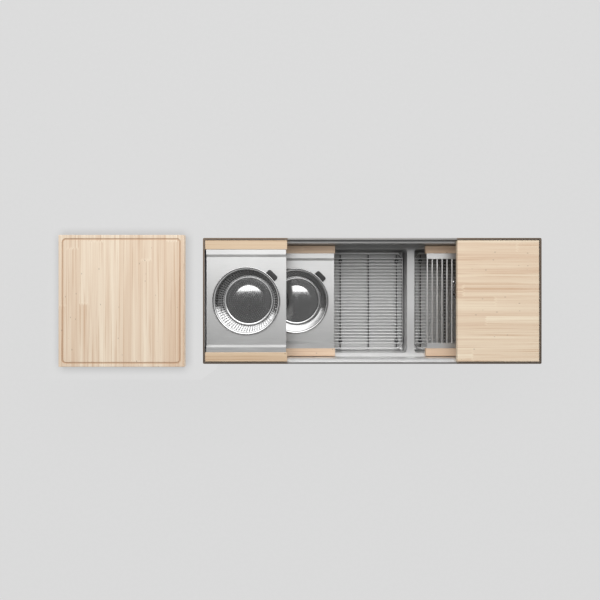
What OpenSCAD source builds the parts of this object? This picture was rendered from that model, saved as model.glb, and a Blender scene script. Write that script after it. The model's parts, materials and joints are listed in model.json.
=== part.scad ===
// Workstation kitchen sink: a long double-bowl basin with two tiers of ledges, and the caddies,
// bowls, drying rack, bottom grids, drains and boards that belong to it.
// Frame: the origin is the centre of the opening on the top plane of the rim,
// +X runs to the right, +Y to the back and +Z up. Millimetres.

/* [Opening and sheet] */
// Width of the opening between its left and right walls
opening_w = 1236; // [1160:1:1320]
// Depth of the opening between its front and rear walls
opening_d = 452; // [436:1:480]
// Thickness of the basin's steel sheet
sheet_t = 1.5; // [1:0.1:2]
// Width of the rim outside the opening
rim_w = 6; // [5:0.5:14]
// Corner radius of the opening, seen from above
opening_r = 3; // [1.5:0.5:4]

/* [Ledges] */
// Depth of the upper ledge below the rim
upper_ledge_drop = 32; // [30:1:40]
// Width of the upper ledge
upper_ledge_w = 11; // [8:0.5:14]
// Depth of the lower ledge below the rim
lower_ledge_drop = 140; // [136:1:150]
// Width of the lower ledge
lower_ledge_w = 13; // [9:0.5:16]

/* [Bowls] */
// Depth of the bowl floor below the rim
bowl_drop = 254; // [246:1:280]
// Length of the left bowl
left_bowl_w = 765; // [720:1:790]
// Width of the top of the divider between the bowls
divider_w = 27.6; // [22:0.2:36]
// Upright corner radius of the bowls
bowl_r = 12; // [6:1:16]
// Radius of the cove between a bowl's walls and its floor
cove_r = 10; // [6:1:12]

/* [Drains] */
// Distance of the drains behind the middle line
drain_back = 48; // [0:1:70]
// Radius of the hole in the bowl floor
drain_hole_r = 45; // [44.2:0.1:47]
// Depth of the pressed seat round the hole
seat_drop = 2.5; // [2.2:0.1:4]
// Outer radius of the strainer's flange
flange_r = 57; // [54:0.5:60]
// Outer radius of the strainer's cup
cup_r = 43; // [42:0.2:43.6]
// Depth of the strainer's cup below the seat
cup_depth = 46; // [42:1:56]
// Outer radius of the threaded nozzle under the cup
nozzle_r = 23; // [22:0.2:26]
// Length of the nozzle
nozzle_h = 18; // [14:1:26]
// Outer radius of the tailpiece
tailpiece_r = 19; // [18:0.1:20]
// Length of the tailpiece below its coupling nut's lip
tailpiece_h = 86; // [60:1:120]
// Wall thickness of the tailpiece
tailpiece_wall = 1.4; // [1:0.1:2]

/* [Bottom grids] */
// Diameter of the frame wires
frame_wire = 6; // [5.5:0.5:7]
// Diameter of the cross wires
cross_wire = 5; // [4:0.2:5]
// Diameter of the bars
bar_wire = 4; // [3:0.5:4.5]
// Distance between the middles of neighbouring bars
bar_pitch = 12.6; // [11:0.1:16]
// Height of the rubber feet under the wires
grid_foot_h = 12; // [10:1:16]
// Gap between a grid and the front and rear walls of its bowl
grid_side_gap = 8; // [7.5:0.5:12]
// Gap between the left grid and the ends of its bowl
left_grid_end_gap = 4; // [3:0.5:10]
// Gap between the right grid and the ends of its bowl
right_grid_end_gap = 12.4; // [3:0.1:14]
// Length of the cut across each corner of a grid
grid_corner = 26; // [18:1:32]
// Outer radius of the ring round the drain
ring_r = 50.5; // [48:0.5:56]

/* [Sliding pieces] */
// Width of each sliding piece along the sink
tool_w = 302; // [296:1:308]
// Height of the wood of each sliding piece
tool_h = 30; // [28:0.5:30]
// Gap between a sliding piece and the walls in front of and behind it
tool_gap = 2; // [1:0.1:3]
// Gap between a sliding piece and the end wall it stands at
end_gap = 1.5; // [1:0.1:3]
// Depth of a rail on the upper ledge, front to back
upper_rail_d = 34; // [28:0.5:36]
// Depth of a rail on the lower ledge, front to back
lower_rail_d = 30; // [26:0.5:34]
// Distance from the upper caddy's place to the lower caddy's, along the sink
lower_caddy_shift = 180; // [150:1:200]
// Distance of the drying rack from the right end of the opening
rack_shift = 99; // [60:1:130]

/* [Trays] */
// Thickness of the tray sheet
tray_t = 1.2; // [0.8:0.1:1.6]
// Depth of the tray's edge strip below the top of the wood
strip_drop = 3; // [2.5:0.1:5]
// Depth of the tray's plate below its edge strip
dish_drop = 9; // [6:0.5:10]
// Width of the edge strip that shows beside the wood
strip_w = 18.5; // [14:0.5:19]
// How far the tray ends stand in from the ends of the wood
tray_inset = 3.5; // [2:0.5:6]
// Height of the tray's down-turned end flanges
end_flange_h = 7; // [4:0.5:8]
// How far the tray reaches into the groove in the wood
groove_d = 10; // [8:0.5:12]
// Radius of the hole that a bowl hangs in
tray_hole_r = 121; // [120:0.5:122]

/* [Colander and mixing bowl] */
// Outer radius of the rolled rim
bowl_rim_r = 127; // [126:0.5:129]
// Radius of the bead at the edge of the rim
bead_r = 2.7; // [2.2:0.1:3]
// Outer radius of the wall at the top
bowl_wall_r = 119; // [116:0.5:119.5]
// Slope of the wall from the upright, in degrees
bowl_slope = 14.5; // [11:0.5:16]
// Radius between the wall and the base
bowl_base_bend = 10; // [6:1:16]
// Depth of the base below the tray's plate
bowl_hang = 93; // [86:0.5:93]
// Thickness of the bowl sheet
bowl_t = 1; // [0.8:0.1:1.4]
// Width of the flat ring round the raised disc in the base
base_ring_w = 2; // [1:0.5:5]
// Height of the raised disc in the base
base_disc_rise = 1.5; // [1:0.1:2.5]
// Length of the silicone grip round the rim
grip_w = 44; // [36:1:50]
// How far the grip stands out from the rim
grip_reach = 18; // [14:0.5:20]
// Direction of the grip, in degrees from +X towards +Y
grip_angle = 45; // [30:1:60]

/* [Colander holes] */
// Radius of the holes in the colander's base
hole_r = 1.5; // [1:0.1:2]
// Distance between neighbouring rings of holes in the base
hole_ring_pitch = 7.4; // [6:0.2:7.8]
// Number of rings of holes in the base
hole_rings = 10; // [5:1:10]
// Number of slots round the wall
slot_count = 72; // [24:1:80]
// Width of a slot in the wall
slot_w = 2.2; // [1.4:0.1:3]
// Height of a slot in the wall
slot_h = 22; // [12:1:23]
// Number of rows of slots
slot_rows = 3; // [1:1:3]

/* [Drying rack] */
// Diameter of a rod
rod_d = 6; // [4:0.5:7]
// Number of rods
rod_count = 16; // [10:1:20]
// Width of the steel channel that shows beside the wood
channel_w = 21; // [16:0.5:26]
// Height of the channel's inner wall
channel_h = 16; // [13:0.5:18]
// Distance from the end of the rack to the first rod
rod_inset = 7.5; // [6:0.5:12]

/* [Boards] */
// Length of the separate grooved board along the sink
board_w = 458; // [400:1:480]
// Depth of the separate grooved board
board_d = 481; // [470:1:500]
// Thickness of the separate grooved board
board_h = 30; // [20:1:40]
// Distance from the sink's rim to the separate board
board_away = 64; // [30:1:100]
// Distance of the juice groove from the board's edge
juice_inset = 12; // [8:0.5:24]
// Width of the juice groove
juice_w = 6; // [4:0.5:9]
// Depth of the juice groove
juice_depth = 3; // [2:0.5:5]
// Corner radius of the juice groove, on its outer side
juice_r = 15; // [10:1:24]
// Size of the bevel along the edges of wooden pieces
wood_bevel = 1.5; // [0.5:0.1:2]

/* [Hidden] */
$fn = 64;

steel = "silver";
dark_steel = "gray";
maple = "burlywood";
silicone = "dimgray";

// Gap of two pieces that are screwed, threaded or pressed together
close_fit = 0.1;
// Gap below a curved edge that rests on a flat face
rest_gap = 0.3;
// How far wires sink into each other where they are welded
weld = 0.4;
// How far cutting shapes run past what they cut
past = 1;

// Levels, measured from the top plane of the rim
upper_ledge_z = -upper_ledge_drop;
lower_ledge_z = -lower_ledge_drop;
floor_z = -bowl_drop;
seat_z = floor_z - seat_drop;
seat_under_z = seat_z - sheet_t;
worktop_z = -sheet_t;
rim_corner_more = 2;
rim_corner_r = opening_r + rim_corner_more;

// Half depths, from the middle line to the walls above each level
top_half = opening_d / 2;
mid_half = top_half - upper_ledge_w;
low_half = mid_half - lower_ledge_w;

// Places along the sink
left_end = -opening_w / 2;
right_end = opening_w / 2;
divider_left = left_end + left_bowl_w;
divider_right = divider_left + divider_w;
left_bowl_x = (left_end + divider_left) / 2;
right_bowl_x = (divider_right + right_end) / 2;
right_bowl_w = right_end - divider_right;

// Clip rails on the outer walls, inside the overhang of the rim
clip_rail_drop = 12;
clip_rail_h = 12;
clip_rail_t = 1.2;
clip_rail_back = 1.5;
clip_rail_d = rim_w - sheet_t - clip_rail_back;
clip_rail_in = 60;
clip_slot_pitch = 60;
clip_slot_w = 20;

// Sound-deadening pads
pad_t = 5;
pad_hole_gap = 9;
pad_hole_r = flange_r + pad_hole_gap;
pad_margin = 36;
pad_wall_h = 70;

// Pressed seat of a drain
seat_clear = 2;
seat_r = flange_r + seat_clear;

// Strainer, measured down from its seat
cup_wall = 1.5;
cup_inner_r = cup_r - cup_wall;
shoulder_drop = 18;
shoulder_w = 4;
shoulder_r = cup_inner_r - shoulder_w;
cup_floor_drop = cup_depth - cup_wall;
cup_chamfer = 6;
nozzle_wall = 5;
nozzle_bore_r = nozzle_r - nozzle_wall;
nozzle_drop = cup_depth + nozzle_h;
outlet_bar = 3;
flange_t = 2.2;
flange_edge = 3;
flange_dip = 0.7;
outlet_lap = 0.5;
washer_in = 1;
gasket_t = 3;
fibre_t = 1.2;
locknut_h = 12;
locknut_wall = 7;
locknut_r = cup_r + locknut_wall;
locknut_lug = 8;
tail_washer_t = 2.5;
tail_flange_t = 2;
coupling_lip = 3;
coupling_grip = 12;
coupling_wall = 5;
tail_flange_top = -nozzle_drop - tail_washer_t;
tail_lip_top = tail_flange_top - tail_flange_t;
// The tube is drawn in a little below its flange, where the nut's lip lies
neck_relief = 0.3;
neck_h = coupling_lip + 1;

// Basket, measured from the top of the strainer's shoulder
seal_t = 1.5;
basket_t = 0.8;
basket_rim_t = 1.2;
basket_rim_r = cup_inner_r - 0.8;
basket_r = shoulder_r - 1;
basket_foot_gap = 6;
basket_depth = cup_floor_drop - shoulder_drop - basket_foot_gap;
basket_bevel = 3;
basket_hole_r = 2.5;
basket_holes = 8;
basket_ring_pitch = 12;
basket_slots = 16;
basket_slot_low = 5;
basket_slot_high = 3;
stem_r = 3;
knob_r = 9;
knob_h = 6;
knob_edge = 2;
knob_top_drop = 4;
stem_foot_r = 6;
stem_foot_t = 1.5;

// Bottom grids
frame_r = frame_wire / 2;
cross_r = cross_wire / 2;
bar_r = bar_wire / 2;
grid_z = floor_z + grid_foot_h + frame_r;
cross_z = grid_z + frame_r - cross_r - weld / 2;
bar_z = grid_z + frame_r + bar_r - weld;
grid_half_d = low_half - grid_side_gap - frame_r;
left_grid_half = left_bowl_w / 2 - left_grid_end_gap - frame_r;
right_grid_half = right_bowl_w / 2 - right_grid_end_gap - frame_r;
bar_margin = 20;
bars_each_way = floor((grid_half_d - bar_margin) / bar_pitch - 0.5);
cross_inset = 23;
left_cross = [0, 113.5, 227];
right_cross = [0, 98.5];
left_foot_cross = [left_cross[0], left_cross[2]];
right_foot_cross = [right_cross[0]];
foot_r = 8;
foot_y = 160;
foot_lap = 1;
weld_dot_r = frame_r + weld;
// Turns the seam of a weld dot away from the two wires that meet in it
seam_turn = 22.5;

// Sliding pieces
upper_half = top_half - tool_gap;
lower_half = mid_half - tool_gap;
upper_caddy_x = left_end + end_gap + tool_w / 2;
lower_caddy_x = upper_caddy_x + lower_caddy_shift;
rack_x = right_end - end_gap - rack_shift - tool_w / 2;
cutting_board_x = right_end - end_gap - tool_w / 2;
tray_l = tool_w - 2 * tray_inset;
tray_slope = 45;
screw_r = 2;
screw_head_r = 4;
screw_head_h = 2.5;
screw_counterbore = 5;
screw_in = 45;
screw_tip = 1.4;
screw_clear = 1;

// Rods of the rack, which run a little past the channels' inner walls
rod_rise = 2;
rod_past = 2;
rod_z = lower_ledge_z + tool_h - strip_drop - channel_h + rod_d / 2 + rod_rise;
rod_half = lower_half - lower_rail_d - channel_w + tray_t + rod_past;

// Bowls
bead_top = rest_gap + 2 * bead_r;
rim_below_bead = 0.5;
rim_top = bead_top - rim_below_bead;
bend_steps = 8;
bend_top = bowl_hang - bowl_base_bend * (1 - sin(bowl_slope));
bend_x = bowl_wall_r - bowl_base_bend * cos(bowl_slope) - (rim_top + bend_top) * tan(bowl_slope);
base_disc_r = bend_x - base_ring_w - base_disc_rise;
bead_ring_r = bowl_rim_r - bead_r;
slot_gap = 4;
holes_round = 6;
tongue_w = 28;
tongue_t = 1.2;
tongue_z = rest_gap + bead_r;
grip_t = 6.5;
grip_r = 8;
grip_skin = 4;

// Separate board
board_x = left_end - rim_w - board_away - board_w / 2;

// ---- Shared shapes ----

// Rectangle w by d round the origin, with corners of radius r
module rounded_rect(w, d, r) {
  square([w - 2 * r, d], center = true);
  square([w, d - 2 * r], center = true);
  for (x = [-1, 1]) for (y = [-1, 1]) {
    translate([x * (w / 2 - r), y * (d / 2 - r)]) circle(r = r);
  }
}

// Rectangle w by h with cut corners, standing on its lower left corner
module bevelled_rect(w, h, b) {
  polygon([[b, 0], [w - b, 0], [w, b], [w, h - b], [w - b, h], [b, h], [0, h - b], [0, b]]);
}

// Runs a section drawn in Y and Z along X, centred on x
module along_x(x, l) {
  translate([x - l / 2, 0, 0]) rotate([90, 0, 90]) linear_extrude(l) children();
}

// Runs a section drawn in X and Z along Y, centred on the middle line
module along_y(l) {
  translate([0, l / 2, 0]) rotate([90, 0, 0]) linear_extrude(l) children();
}

// A straight wire of radius r along X
module wire_x(x, y, z, l, r) {
  translate([x - l / 2, y, z]) rotate([0, 90, 0]) cylinder(r = r, h = l);
}

// A straight wire of radius r along Y
module wire_y(x, y, z, l, r) {
  translate([x, y + l / 2, z]) rotate([90, 0, 0]) cylinder(r = r, h = l);
}

// A flat ring
module washer(outer, inner, h) {
  linear_extrude(h) difference() {
    circle(r = outer);
    circle(r = inner);
  }
}

// ---- Basin ----

// The space above one level: a box with upright rounded corners, grown by g
module level_space(half_d, low, high, g) {
  translate([0, 0, low - g]) linear_extrude(high - low + g) {
    rounded_rect(opening_w + 2 * g, 2 * (half_d + g), opening_r + g);
  }
}

// A section with rounded lower corners, w wide, from the floor up to top
module cove_section(w, top, g) {
  r = cove_r + g;
  low = floor_z - g;
  translate([-w / 2, low + r]) square([w, top - low - r]);
  translate([-w / 2 + r, low]) square([w - 2 * r, top - low]);
  for (side = [-1, 1]) translate([side * (w / 2 - r), low + r]) circle(r = r);
}

// The space inside one bowl, with coves along its floor, grown by g
module bowl_space(x, w, top, g) {
  wide = w + 2 * g;
  deep = 2 * (low_half + g);
  intersection() {
    translate([x, 0, floor_z - g]) linear_extrude(top - floor_z + g) {
      rounded_rect(wide, deep, bowl_r + g);
    }
    translate([x, 0, 0]) along_y(deep + 2 * past) cove_section(wide, top, g);
    along_x(x, wide + 2 * past) cove_section(deep, top, g);
  }
}

// The pressed seat and the hole of one drain, as the space they leave
module drain_space(x) {
  translate([x, drain_back, seat_z]) cylinder(r = seat_r, h = seat_drop + past);
  translate([x, drain_back, seat_under_z - past]) {
    cylinder(r = drain_hole_r, h = sheet_t + seat_drop + 2 * past);
  }
}

module basin() {
  color(steel) difference() {
    union() {
      translate([0, 0, -sheet_t]) linear_extrude(sheet_t) {
        rounded_rect(opening_w + 2 * rim_w, opening_d + 2 * rim_w, rim_corner_r);
      }
      level_space(top_half, upper_ledge_z, -sheet_t / 2, sheet_t);
      level_space(mid_half, lower_ledge_z, upper_ledge_z, sheet_t);
      bowl_space(left_bowl_x, left_bowl_w, lower_ledge_z, sheet_t);
      bowl_space(right_bowl_x, right_bowl_w, lower_ledge_z, sheet_t);
      for (x = [left_bowl_x, right_bowl_x]) {
        translate([x, drain_back, seat_under_z]) {
          cylinder(r = seat_r + sheet_t, h = seat_drop + sheet_t / 2);
        }
      }
    }
    level_space(top_half, upper_ledge_z, past, 0);
    level_space(mid_half, lower_ledge_z, upper_ledge_z + past, 0);
    bowl_space(left_bowl_x, left_bowl_w, lower_ledge_z + past, 0);
    bowl_space(right_bowl_x, right_bowl_w, lower_ledge_z + past, 0);
    drain_space(left_bowl_x);
    drain_space(right_bowl_x);
  }
}

// Channel section of the rear clip rail: its web stands off the wall, its lips turn in to it
module clip_rail_section() {
  wall = top_half + sheet_t;
  low = -clip_rail_drop - clip_rail_h;
  difference() {
    translate([wall, low]) square([clip_rail_d, clip_rail_h]);
    translate([wall - past, low + clip_rail_t]) {
      square([clip_rail_d - clip_rail_t + past, clip_rail_h - 2 * clip_rail_t]);
    }
  }
}

module clip_rail() {
  l = opening_w - 2 * clip_rail_in;
  slots = floor(l / clip_slot_pitch) - 1;
  web = top_half + sheet_t + clip_rail_d - clip_rail_t / 2;
  difference() {
    along_x(0, l) clip_rail_section();
    for (i = [0 : slots - 1]) {
      x = (i - (slots - 1) / 2) * clip_slot_pitch;
      translate([x, web, -clip_rail_drop - clip_rail_h / 2]) {
        cube([clip_slot_w, 2 * clip_rail_t, clip_rail_h / 3], center = true);
      }
    }
  }
}

module clip_rails() {
  color(dark_steel) {
    clip_rail();
    mirror([0, 1, 0]) clip_rail();
  }
}

// Rubber pads under one bowl and on its front and rear walls
module bowl_pads(x, w) {
  floor_under = floor_z - sheet_t;
  pad_w = w - 2 * pad_margin;
  translate([x, 0, floor_under - pad_t]) linear_extrude(pad_t) difference() {
    rounded_rect(pad_w, 2 * (low_half - pad_margin), bowl_r);
    translate([0, drain_back]) circle(r = pad_hole_r);
  }
  for (side = [0, 1]) mirror([0, side, 0]) {
    translate([x, low_half + sheet_t + pad_t, (floor_z + lower_ledge_z) / 2]) {
      rotate([90, 0, 0]) linear_extrude(pad_t) rounded_rect(pad_w, pad_wall_h, bowl_r);
    }
  }
}

module sound_pads() {
  color(silicone) {
    bowl_pads(left_bowl_x, left_bowl_w);
    bowl_pads(right_bowl_x, right_bowl_w);
  }
}

// ---- Drains ----

module at_drain(x, z) {
  translate([x, drain_back, z]) children();
}

// Half section of the strainer body: flange, stepped cup and nozzle
module strainer_section() {
  polygon([
    [nozzle_bore_r, -nozzle_drop], [nozzle_r, -nozzle_drop], [nozzle_r, -cup_depth],
    [cup_r - cup_chamfer, -cup_depth], [cup_r, -cup_depth + cup_chamfer], [cup_r, 0],
    [flange_r, 0], [flange_r, flange_t / 2], [flange_r - flange_edge, flange_t],
    [cup_inner_r + flange_edge, flange_t - flange_dip], [cup_inner_r, -flange_t],
    [cup_inner_r, -shoulder_drop], [shoulder_r, -shoulder_drop],
    [shoulder_r, -cup_floor_drop + cup_chamfer],
    [shoulder_r - cup_chamfer, -cup_floor_drop], [nozzle_bore_r, -cup_floor_drop]
  ]);
}

module strainer_body(x) {
  color(steel) at_drain(x, seat_z) {
    rotate_extrude() strainer_section();
    for (a = [0, 90]) rotate([0, 0, a]) {
      translate([0, 0, -cup_depth + cup_wall / 2]) {
        cube([2 * (nozzle_bore_r + outlet_lap), outlet_bar, cup_wall], center = true);
      }
    }
  }
}

module gasket(x) {
  color(silicone) at_drain(x, seat_under_z - gasket_t) {
    washer(flange_r - washer_in, cup_r + close_fit, gasket_t);
  }
}

module fibre_washer(x) {
  color("tan") at_drain(x, seat_under_z - gasket_t - fibre_t) {
    washer(flange_r - 2 * washer_in, cup_r + close_fit, fibre_t);
  }
}

module locknut(x) {
  color(dark_steel) at_drain(x, seat_under_z - gasket_t - fibre_t - locknut_h) {
    linear_extrude(locknut_h) difference() {
      union() {
        circle(r = locknut_r);
        for (a = [0 : 45 : 315]) rotate(a) {
          translate([locknut_r, 0]) square([locknut_lug, locknut_lug], center = true);
        }
      }
      circle(r = cup_r + close_fit);
    }
  }
}

module tailpiece_washer(x) {
  color(silicone) at_drain(x, seat_z + tail_flange_top) {
    washer(nozzle_r - close_fit, tailpiece_r, tail_washer_t);
  }
}

module tailpiece(x) {
  inner = tailpiece_r - tailpiece_wall;
  color(steel) at_drain(x, seat_z) rotate_extrude() {
    polygon([
      [inner, tail_flange_top], [nozzle_r - close_fit, tail_flange_top],
      [nozzle_r - close_fit, tail_lip_top], [tailpiece_r - neck_relief, tail_lip_top],
      [tailpiece_r - neck_relief, tail_lip_top - neck_h], [tailpiece_r, tail_lip_top - neck_h],
      [tailpiece_r, tail_lip_top - coupling_lip - tailpiece_h],
      [inner, tail_lip_top - coupling_lip - tailpiece_h]
    ]);
  }
}

module coupling_nut(x) {
  h = coupling_lip + tail_flange_t + tail_washer_t + coupling_grip;
  color(dark_steel) at_drain(x, seat_z + tail_lip_top - coupling_lip) difference() {
    cylinder(r = nozzle_r + coupling_wall, h = h, $fn = 8);
    translate([0, 0, coupling_lip]) cylinder(r = nozzle_r + close_fit, h = h);
    translate([0, 0, -past]) cylinder(r = tailpiece_r + close_fit, h = h);
  }
}

// The basket hangs by its rim on a rubber seal, on the strainer's shoulder
module at_basket(x) {
  at_drain(x, seat_z - shoulder_drop) children();
}

module basket_seal(x) {
  color(silicone) at_basket(x) washer(basket_rim_r, basket_r + close_fit, seal_t);
}

module basket(x) {
  inner_r = basket_r - basket_t;
  inner_bevel = basket_bevel + basket_t / 2;
  slot_tall = basket_depth - basket_slot_low - basket_slot_high;
  color(steel) at_basket(x) difference() {
    rotate_extrude() polygon([
      [0, -basket_depth], [basket_r - basket_bevel, -basket_depth],
      [basket_r, -basket_depth + basket_bevel], [basket_r, seal_t],
      [basket_rim_r, seal_t], [basket_rim_r, seal_t + basket_rim_t],
      [inner_r, seal_t + basket_rim_t], [inner_r, -basket_depth + inner_bevel],
      [basket_r - inner_bevel, -basket_depth + basket_t], [0, -basket_depth + basket_t]
    ]);
    translate([0, 0, -basket_depth - past]) {
      cylinder(r = stem_r + close_fit, h = basket_t + 2 * past);
      for (ring = [1, 2]) for (i = [0 : basket_holes * ring - 1]) {
        rotate([0, 0, i * 360 / (basket_holes * ring)]) translate([ring * basket_ring_pitch, 0, 0]) {
          cylinder(r = basket_hole_r, h = basket_t + 2 * past);
        }
      }
    }
    for (i = [0 : basket_slots - 1]) rotate([0, 0, i * 360 / basket_slots]) {
      translate([basket_r - basket_bevel, -basket_hole_r / 2, -basket_depth + basket_slot_low]) {
        cube([2 * basket_bevel, basket_hole_r, slot_tall]);
      }
    }
  }
}

module basket_knob(x) {
  low = -basket_depth;
  high = shoulder_drop - knob_top_drop;
  color(dark_steel) at_basket(x) rotate_extrude() polygon([
    [0, low - stem_foot_t], [stem_foot_r, low - stem_foot_t], [stem_foot_r, low], [stem_r, low],
    [stem_r, high - knob_h], [knob_r, high - knob_h + knob_edge], [knob_r, high - knob_edge],
    [knob_r - knob_edge, high], [0, high]
  ]);
}

// ---- Bottom grids ----

// Frame of one grid round the origin: four sides, and a cut corner with a weld dot at each bend
module grid_frame(half_w) {
  cut = grid_corner / sqrt(2);
  for (side = [-1, 1]) {
    wire_x(0, side * grid_half_d, grid_z, 2 * (half_w - cut), frame_r);
    wire_y(side * half_w, 0, grid_z, 2 * (grid_half_d - cut), frame_r);
  }
  for (left = [0, 1]) for (front = [0, 1]) mirror([left, 0, 0]) mirror([0, front, 0]) {
    translate([half_w - cut / 2, grid_half_d - cut / 2, grid_z]) rotate([0, 90, -45]) {
      cylinder(r = frame_r, h = grid_corner, center = true);
    }
    translate([half_w - cut, grid_half_d, grid_z]) rotate([0, 0, 90 - seam_turn]) sphere(r = weld_dot_r);
    translate([half_w, grid_half_d - cut, grid_z]) rotate([0, 0, seam_turn]) sphere(r = weld_dot_r);
  }
}

module grid_wires(x, half_w, cross) {
  color(steel) translate([x, 0, 0]) {
    grid_frame(half_w);
    for (inset = cross) for (side = [-1, 1]) {
      wire_y(side * (half_w - cross_inset - inset), 0, cross_z, 2 * grid_half_d, cross_r);
    }
    difference() {
      for (i = [-bars_each_way - 0.5 : 1 : bars_each_way + 0.5]) {
        wire_x(0, i * bar_pitch, bar_z, 2 * half_w, bar_r);
      }
      at_drain(0, grid_z) cylinder(r = ring_r - frame_r, h = 4 * frame_r);
    }
    at_drain(0, grid_z) rotate_extrude() translate([ring_r - frame_r, 0]) circle(r = frame_r);
  }
}

// Rubber feet pushed onto some cross wires, from the floor to just above the wire's middle
module grid_feet(x, half_w, foot_cross) {
  color(silicone) for (inset = foot_cross) for (side = [-1, 1]) for (end = [-1, 1]) {
    px = x + side * (half_w - cross_inset - inset);
    difference() {
      translate([px, end * foot_y, floor_z]) cylinder(r = foot_r, h = cross_z - floor_z + foot_lap);
      wire_y(px, end * foot_y, cross_z, 4 * foot_r, cross_r + close_fit);
    }
  }
}

// ---- Caddies and rack ----

// Section of the rear rail in Y and Z, with the groove for the tray on its inner side
module rail_section(half, depth, ledge_z, groove) {
  inner = half - depth;
  groove_z = ledge_z + tool_h - strip_drop - tray_t;
  difference() {
    translate([inner, ledge_z]) bevelled_rect(depth, tool_h, wood_bevel);
    if (groove) {
      translate([inner - past, groove_z - close_fit]) {
        square([groove_d + close_fit + past, tray_t + 2 * close_fit]);
      }
    }
  }
}

// Places of the screws of a rear rail, up through the groove
module at_rail_screws(x, half, depth, ledge_z) {
  for (i = [-1, 0, 1]) {
    translate([x + i * (tool_w / 2 - screw_in), half - depth + groove_d / 2, ledge_z]) children();
  }
}

// A rear rail. The front one is its mirror image.
module rail(x, half, depth, ledge_z) {
  color(maple) difference() {
    along_x(x, tool_w) rail_section(half, depth, ledge_z, true);
    at_rail_screws(x, half, depth, ledge_z) {
      translate([0, 0, -past]) {
        cylinder(r = screw_r + close_fit, h = tool_h - screw_tip + past);
        cylinder(r = screw_head_r + close_fit, h = screw_counterbore + past);
      }
    }
  }
}

module rail_screws(x, half, depth, ledge_z) {
  color(dark_steel) for (side = [0, 1]) mirror([0, side, 0]) {
    at_rail_screws(x, half, depth, ledge_z) {
      head = screw_counterbore - screw_head_h;
      translate([0, 0, head]) cylinder(r = screw_head_r, h = screw_head_h);
      translate([0, 0, head]) cylinder(r = screw_r, h = tool_h - screw_tip - screw_clear - head);
    }
  }
}

// Half section of a dished tray: strip in the groove, slope, and plate to the middle line
module tray_section(inner, top) {
  strip_z = top - strip_drop;
  plate_z = strip_z - dish_drop;
  bend = tray_t * tan(tray_slope / 2);
  slope_top = inner - strip_w;
  slope_low = slope_top - dish_drop;
  polygon([
    [inner + groove_d, strip_z], [slope_top, strip_z], [slope_low, plate_z], [0, plate_z],
    [0, plate_z - tray_t], [slope_low + bend, plate_z - tray_t],
    [slope_top + bend, strip_z - tray_t], [inner + groove_d, strip_z - tray_t]
  ]);
}

module tray(x, half, depth, ledge_z) {
  inner = half - depth;
  top = ledge_z + tool_h;
  plate_z = top - strip_drop - dish_drop;
  flange_half = inner - strip_w - dish_drop;
  color(steel) difference() {
    union() {
      along_x(x, tray_l) tray_section(inner, top);
      along_x(x, tray_l) mirror([1, 0]) tray_section(inner, top);
      for (side = [-1, 1]) {
        translate([x + side * (tray_l - tray_t) / 2, 0, plate_z - (end_flange_h + tray_t) / 2]) {
          cube([tray_t, 2 * flange_half, end_flange_h + tray_t], center = true);
        }
      }
    }
    translate([x, 0, plate_z - tray_t - past]) cylinder(r = tray_hole_r, h = tray_t + 2 * past);
    for (side = [0, 1]) mirror([0, side, 0]) at_rail_screws(x, half, depth, ledge_z) {
      cylinder(r = screw_r + close_fit, h = tool_h);
    }
  }
}

// Section of the rear steel channel of the rack: strip from the groove, and inner wall
module channel_section(inner, top) {
  strip_z = top - strip_drop;
  wall_y = inner - channel_w;
  polygon([
    [inner + groove_d, strip_z], [wall_y, strip_z], [wall_y, strip_z - channel_h],
    [wall_y + tray_t, strip_z - channel_h], [wall_y + tray_t, strip_z - tray_t],
    [inner + groove_d, strip_z - tray_t]
  ]);
}

module rods(extra) {
  pitch = (tool_w - 2 * rod_inset) / (rod_count - 1);
  for (i = [0 : rod_count - 1]) {
    wire_y(rack_x - tool_w / 2 + rod_inset + i * pitch, 0, rod_z, 2 * rod_half, rod_d / 2 + extra);
  }
}

module rack_channel(side) {
  color(steel) difference() {
    mirror([0, side, 0]) difference() {
      along_x(rack_x, tray_l) channel_section(lower_half - lower_rail_d, lower_ledge_z + tool_h);
      at_rail_screws(rack_x, lower_half, lower_rail_d, lower_ledge_z) {
        cylinder(r = screw_r + close_fit, h = tool_h);
      }
    }
    rods(close_fit);
  }
}

module rack_rods() {
  color(steel) rods(0);
}

// ---- Colander and mixing bowl, measured from the top of the tray's plate ----

// Outline of the bowl's wall and base, offset inwards by g, closed along the axis
function bowl_outline(g) = concat(
  [[0, -bowl_hang + base_disc_rise + g],
   [base_disc_r - g / 2, -bowl_hang + base_disc_rise + g],
   [base_disc_r + base_disc_rise - g / 2, -bowl_hang + g]],
  [for (i = [0 : bend_steps]) let (a = -90 + (90 - bowl_slope) * i / bend_steps)
    [bend_x + (bowl_base_bend - g) * cos(a),
     -bowl_hang + bowl_base_bend + (bowl_base_bend - g) * sin(a)]],
  [[bowl_wall_r - g / cos(bowl_slope), rim_top], [0, rim_top]]
);

module bowl_section() {
  difference() {
    polygon(bowl_outline(0));
    polygon(bowl_outline(bowl_t));
  }
  translate([bowl_wall_r - bowl_t, rim_top - bowl_t]) {
    square([bead_ring_r - bowl_wall_r + bowl_t, bowl_t]);
  }
  translate([bead_ring_r, rest_gap + bead_r]) circle(r = bead_r);
}

module bowl_shell() {
  rotate_extrude() bowl_section();
  rotate([0, 0, grip_angle]) translate([bead_ring_r, -tongue_w / 2, tongue_z - tongue_t / 2]) {
    cube([bead_r + grip_reach - grip_skin, tongue_w, tongue_t]);
  }
}

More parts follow.
